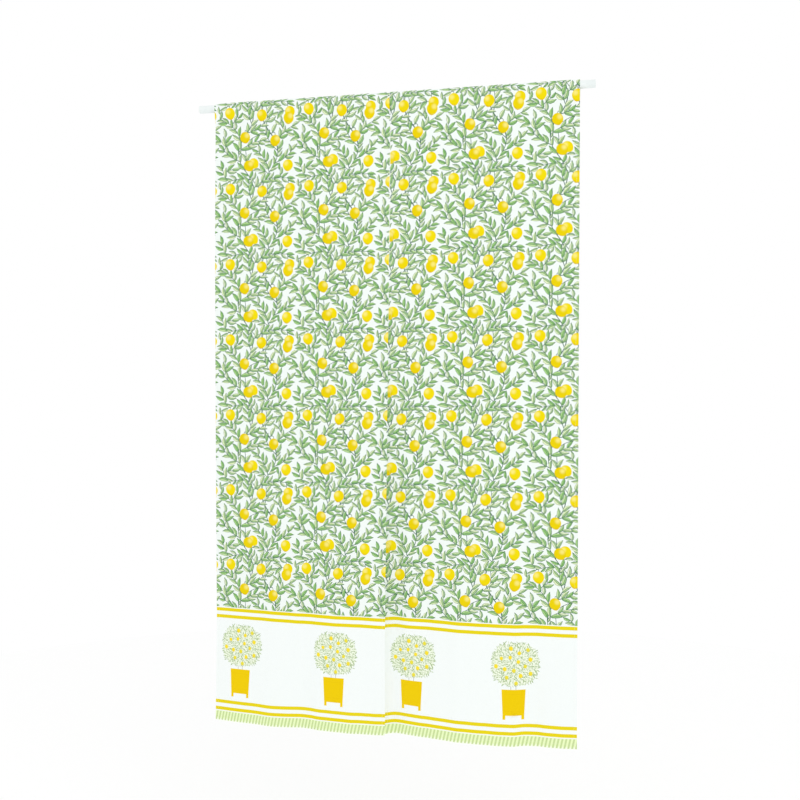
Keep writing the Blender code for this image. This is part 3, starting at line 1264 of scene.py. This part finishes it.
def lemon_colour(finish):
    across, down = finish.place("motif")
    _, tone = finish.place("ink")
    far = (across * across + down * down).root()
    body = finish.mix(tone.rise(0.2, 0.8), colour(242, 221, 4), colour(234, 209, 0))
    low = (down * 0.7 - across * 0.5).rise(0.1, 0.9)
    body = finish.mix(far.rise(0.70, 1.0) * (0.12 + low * 0.48), body, colour(214, 172, 0))
    beside, up = across + 0.36 - tone.rise(0.45, 0.55) * 0.72, down + 0.34
    glow = (beside * beside + up * up).root().rise(0.66, 0.08)
    body = finish.mix(glow * 0.68, body, colour(253, 242, 152))
    speckle = finish.noise(finish.join(across * 9.0, down * 9.0, tone * 7.0), 1.0)
    body = finish.mix(speckle.rise(0.60, 0.70) * 0.30, body, colour(228, 188, 12))
    return finish.mix(far.rise(0.93, 1.04) * 0.35, body, colour(200, 168, 40))


def fruit_colour(finish):
    across, down = finish.place("motif")
    _, tone = finish.place("ink")
    body = finish.mix(tone.rise(0.35, 0.65), colour(236, 224, 70), colour(250, 226, 54))
    return finish.mix((down - across).rise(0.2, 1.0) * 0.35, body, colour(222, 194, 60))


def planter_colour(finish):
    across, down = finish.place("motif")
    from_frame = abs(abs(across).at_least(abs(down)) - 0.72)
    return finish.mix(from_frame.rise(0.05, 0.02) * 0.25, colour(239, 204, 0), colour(228, 188, 8))


def band_colour(finish):
    """Yellow-green wash that fades to white at the hem."""
    _, down = finish.place("cloth")
    return finish.mix(down.rise(CURTAIN_DROP - 8.0, CURTAIN_DROP), colour(234, 250, 194), colour(248, 253, 236))


def tone_colour(light, dark):
    def made(finish):
        _, tone = finish.place("ink")
        return finish.mix(tone, colour(*light), colour(*dark))
    return made


def flat_colour(*numbers):
    def made(finish):
        return colour(*numbers)
    return made


INK_COLOURS = {
    "white_ground": None,
    "leaf_green": leaf_colour,
    "stem_green": flat_colour(64, 104, 86),
    "lemon_yellow": lemon_colour,
    "stripe_yellow": flat_colour(232, 213, 22),
    "band_green": band_colour,
    "stroke_green": flat_colour(200, 220, 156),
    "tree_green": tone_colour((242, 249, 230), (156, 182, 124)),
    "fruit_yellow": fruit_colour,
    "trunk_brown": flat_colour(186, 190, 170),
    "planter_yellow": planter_colour,
}


def printed_ink(name, back):
    """Cloth with one ink of the print, or the same place seen from the unprinted back."""
    finish = Finish(name + ("_back" if back else ""), roughness=0.82, specular=0.08)
    threads = weave(finish)
    _, down = finish.place("cloth")
    crown = finish.mix(down.rise(FIELD_ENDS - 1.0, FIELD_ENDS), FIELD_WHITE, CLOTH_WHITE)
    # The white ground gets painted shade in the gaps between the threads, and its own colour on their crowns.
    white = finish.mix(threads.rise(0.0, 0.5), PAINTED_GAP_SHADE, crown)
    if INK_COLOURS[name] is None:
        finish.set("Base Color", white)
    else:
        ink = INK_COLOURS[name](finish)
        taken = threads.rise(0.0, 0.3) * 0.01 + 0.99
        if back:
            taken = threads.rise(0.0, 0.4) * -0.10 + (1 - BACK_FADE)
        finish.set("Base Color", finish.mix(taken, white, ink))
    finish.set("Roughness", 0.90 - threads * 0.12)
    finish.bump(threads, WEAVE_HEIGHT, 0.5)
    return finish.material


def thread_finish():
    finish = Finish("sewing_thread", roughness=0.55)
    place = finish.node("ShaderNodeTexCoord").outputs["Object"]
    turns = finish.noise(place, 2400.0)
    finish.set("Base Color", finish.mix(turns.rise(0.35, 0.65), colour(226, 230, 228), colour(250, 251, 250)))
    finish.bump(turns, 0.00003, 0.6)
    return finish.material


def rod_finish():
    """White coating with a faint ripple and a few duller patches."""
    finish = Finish("rod_white_coat", roughness=0.35, specular=0.5)
    place = finish.node("ShaderNodeTexCoord").outputs["Object"]
    ripple = finish.noise(place, 420.0)
    patches = finish.noise(place, 26.0, 4.0)
    finish.set("Base Color", finish.mix(patches.rise(0.35, 0.70), colour(230, 237, 236), colour(238, 244, 243)))
    finish.set("Roughness", 0.30 + patches * 0.14)
    finish.bump(ripple, 0.00004, 0.35)
    return finish.material


STITCH_PITCH = 3.0
STITCH_LENGTH = 2.3
THREAD_WIDTH = 0.36


def stitch_tree():
    """Node tree that lays stitches end to end along every line of a mesh."""
    tree = bpy.data.node_groups.new("running_stitch", "GeometryNodeTree")
    face = tree.interface
    face.new_socket("Geometry", in_out="INPUT", socket_type="NodeSocketGeometry")
    for name in ("Pitch", "Stitch Length", "Thread Width"):
        face.new_socket(name, in_out="INPUT", socket_type="NodeSocketFloat")
    face.new_socket("Thread", in_out="INPUT", socket_type="NodeSocketMaterial")
    face.new_socket("Geometry", in_out="OUTPUT", socket_type="NodeSocketGeometry")

    def node(kind, **settings):
        made = tree.nodes.new(kind)
        for name, value in settings.items():
            setattr(made, name, value)
        return made

    link = tree.links.new
    given, result = node("NodeGroupInput"), node("NodeGroupOutput")
    lines = node("GeometryNodeMeshToCurve")
    spaced = node("GeometryNodeResampleCurve", mode="LENGTH")
    stitch = node("GeometryNodeMeshIcoSphere")
    stitch.inputs["Radius"].default_value = 0.5
    stitch.inputs["Subdivisions"].default_value = 1
    along = node("GeometryNodeInputTangent")
    turn = node("FunctionNodeAlignRotationToVector", axis="Z")
    size = node("ShaderNodeCombineXYZ")
    put = node("GeometryNodeInstanceOnPoints")
    real = node("GeometryNodeRealizeInstances")
    smooth = node("GeometryNodeSetShadeSmooth")
    colour_it = node("GeometryNodeSetMaterial")
    link(given.outputs["Geometry"], lines.inputs["Mesh"])
    link(lines.outputs["Curve"], spaced.inputs["Curve"])
    link(given.outputs["Pitch"], spaced.inputs["Length"])
    link(along.outputs["Tangent"], turn.inputs["Vector"])
    link(given.outputs["Thread Width"], size.inputs["X"])
    link(given.outputs["Thread Width"], size.inputs["Y"])
    link(given.outputs["Stitch Length"], size.inputs["Z"])
    link(spaced.outputs["Curve"], put.inputs["Points"])
    link(stitch.outputs["Mesh"], put.inputs["Instance"])
    link(turn.outputs["Rotation"], put.inputs["Rotation"])
    link(size.outputs["Vector"], put.inputs["Scale"])
    link(put.outputs["Instances"], real.inputs["Geometry"])
    link(real.outputs["Geometry"], smooth.inputs["Geometry"])
    link(smooth.outputs["Geometry"], colour_it.inputs["Geometry"])
    link(given.outputs["Thread"], colour_it.inputs["Material"])
    link(colour_it.outputs["Geometry"], result.inputs["Geometry"])
    return tree


def sew(name, lines, tree, thread):
    """Stitches along lines of places in space, as one piece."""
    mesh = bpy.data.meshes.new(name)
    places, edges = [], []
    for line in lines:
        edges += [(n, n + 1) for n in range(len(places), len(places) + len(line) - 1)]
        places += [tuple(place) for place in line]
    mesh.from_pydata(places, edges, [])
    piece = bpy.data.objects.new(name, mesh)
    bpy.context.scene.collection.objects.link(piece)
    stitches = piece.modifiers.new("stitches", "NODES")
    stitches.node_group = tree
    sizes = {"Pitch": STITCH_PITCH, "Stitch Length": STITCH_LENGTH, "Thread Width": THREAD_WIDTH}
    for item in tree.interface.items_tree:
        if item.in_out == "INPUT" and item.name in sizes:
            stitches[item.identifier] = sizes[item.name] * MILLIMETRE
        elif item.in_out == "INPUT" and item.name == "Thread":
            stitches[item.identifier] = thread
    apply_modifiers(piece)
    return piece


def stitch_lines(panel):
    """Places of a panel's stitches: sleeve, side hems and bottom hem, on both faces."""
    lines = []
    across = np.linspace(2.0, PANEL_WIDTH - 2.0, 87)
    lines.append(drape(panel, across, np.full(87, FRONT_STITCHES), 0.02))
    lines.append(drape(panel, across, np.full(87, FLAP_STITCHES), 0.02))
    hem_row = np.full(87, CURTAIN_DROP - BOTTOM_HEM + 1.5)
    lines.append(drape(panel, across, hem_row, 0.02))
    lines.append(drape(panel, across, hem_row, -HEM_THICKNESS - 0.02))
    down = np.linspace(FRONT_STITCHES + 2.0, CURTAIN_DROP - 2.0, 240)
    for side in (SIDE_HEM - 1.5, PANEL_WIDTH - SIDE_HEM + 1.5):
        lines.append(drape(panel, np.full(240, side), down, 0.02))
        lines.append(drape(panel, np.full(240, side), down, -HEM_THICKNESS - 0.02))
    return lines


def centre_seam_lines():
    """Short stitches from one panel's edge to the other's, down to where the split starts."""
    left, right = PANELS["left_panel"], PANELS["right_panel"]
    lines = []
    for down in np.arange(FRONT_STITCHES + 3.0, SEWN_TOGETHER_TO, STITCH_PITCH):
        start = drape(left, [PANEL_WIDTH - 1.2], [down], 0.04)[0]
        end = drape(right, [1.2], [down + 1.0], 0.04)[0]
        lines.append([start, end])
    return lines


def dress(piece, node):
    """Hang a finished piece on the root body, and hide the model's part that it replaces."""
    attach(piece, "root")
    if node:
        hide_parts(node)


def make_camera():
    data = bpy.data.cameras.new("camera")
    data.lens = 45.0
    data.sensor_width = 36.0
    data.shift_y = -0.0075
    camera = bpy.data.objects.new("camera", data)
    camera.location = (0.9985, -2.248, -0.685)
    camera.rotation_euler = (math.radians(90.0), 0.0, math.radians(12.64))
    bpy.context.scene.collection.objects.link(camera)
    bpy.context.scene.camera = camera


def make_light(name, place, target, width, power):
    data = bpy.data.lights.new(name, "AREA")
    data.shape = "SQUARE"
    data.size = width
    data.energy = power
    light = bpy.data.objects.new(name, data)
    light.location = place
    light.rotation_euler = (Vector(target) - Vector(place)).to_track_quat("-Z", "Y").to_euler()
    bpy.context.scene.collection.objects.link(light)


def make_stage():
    mesh = bpy.data.meshes.new("floor")
    sheet = bmesh.new()
    bmesh.ops.create_circle(sheet, cap_ends=True, segments=96, radius=3.2)
    bmesh.ops.translate(sheet, verts=sheet.verts, vec=(0.47, 0.0, -1.95))
    sheet.to_mesh(mesh)
    sheet.free()
    floor = bpy.data.objects.new("floor", mesh)
    bpy.context.scene.collection.objects.link(floor)
    finish = Finish("floor_white", roughness=1.0, specular=0.0)
    finish.set("Base Color", colour(254, 254, 254))
    mesh.materials.append(finish.material)
    world = bpy.data.worlds.new("studio")
    bpy.context.scene.world = world
    world.use_nodes = True
    background = world.node_tree.nodes["Background"]
    background.inputs["Color"].default_value = (1.0, 1.0, 1.0, 1.0)
    background.inputs["Strength"].default_value = 1.0
    bpy.context.scene.view_settings.view_transform = "Standard"


def main():
    make_camera()
    make_stage()
    make_light("soft_key", (1.9, -2.7, 0.6), (0.47, 0.0, -0.7), 2.2, 8.0)
    inks = [printed_ink(name, False) for name in INKS] + [printed_ink(name, True) for name in INKS]
    thread = thread_finish()
    tree = stitch_tree()
    repeat = Repeat()
    for side in ("left", "right"):
        node = side + "_panel"
        cloth = make_cloth(side + "_cloth", node, repeat, inks)
        stitching = sew(side + "_stitching", stitch_lines(PANELS[node]), tree, thread)
        dress(cloth, node)
        dress(stitching, None)
        flat = (PANEL_WIDTH * MILLIMETRE, (CURTAIN_DROP - FLAP_END) * MILLIMETRE)
    seam = sew("centre_seam", centre_seam_lines(), tree, thread)
    dress(seam, None)
    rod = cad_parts["rod"]
    rod.material_slots[0].material = rod_finish()


main()
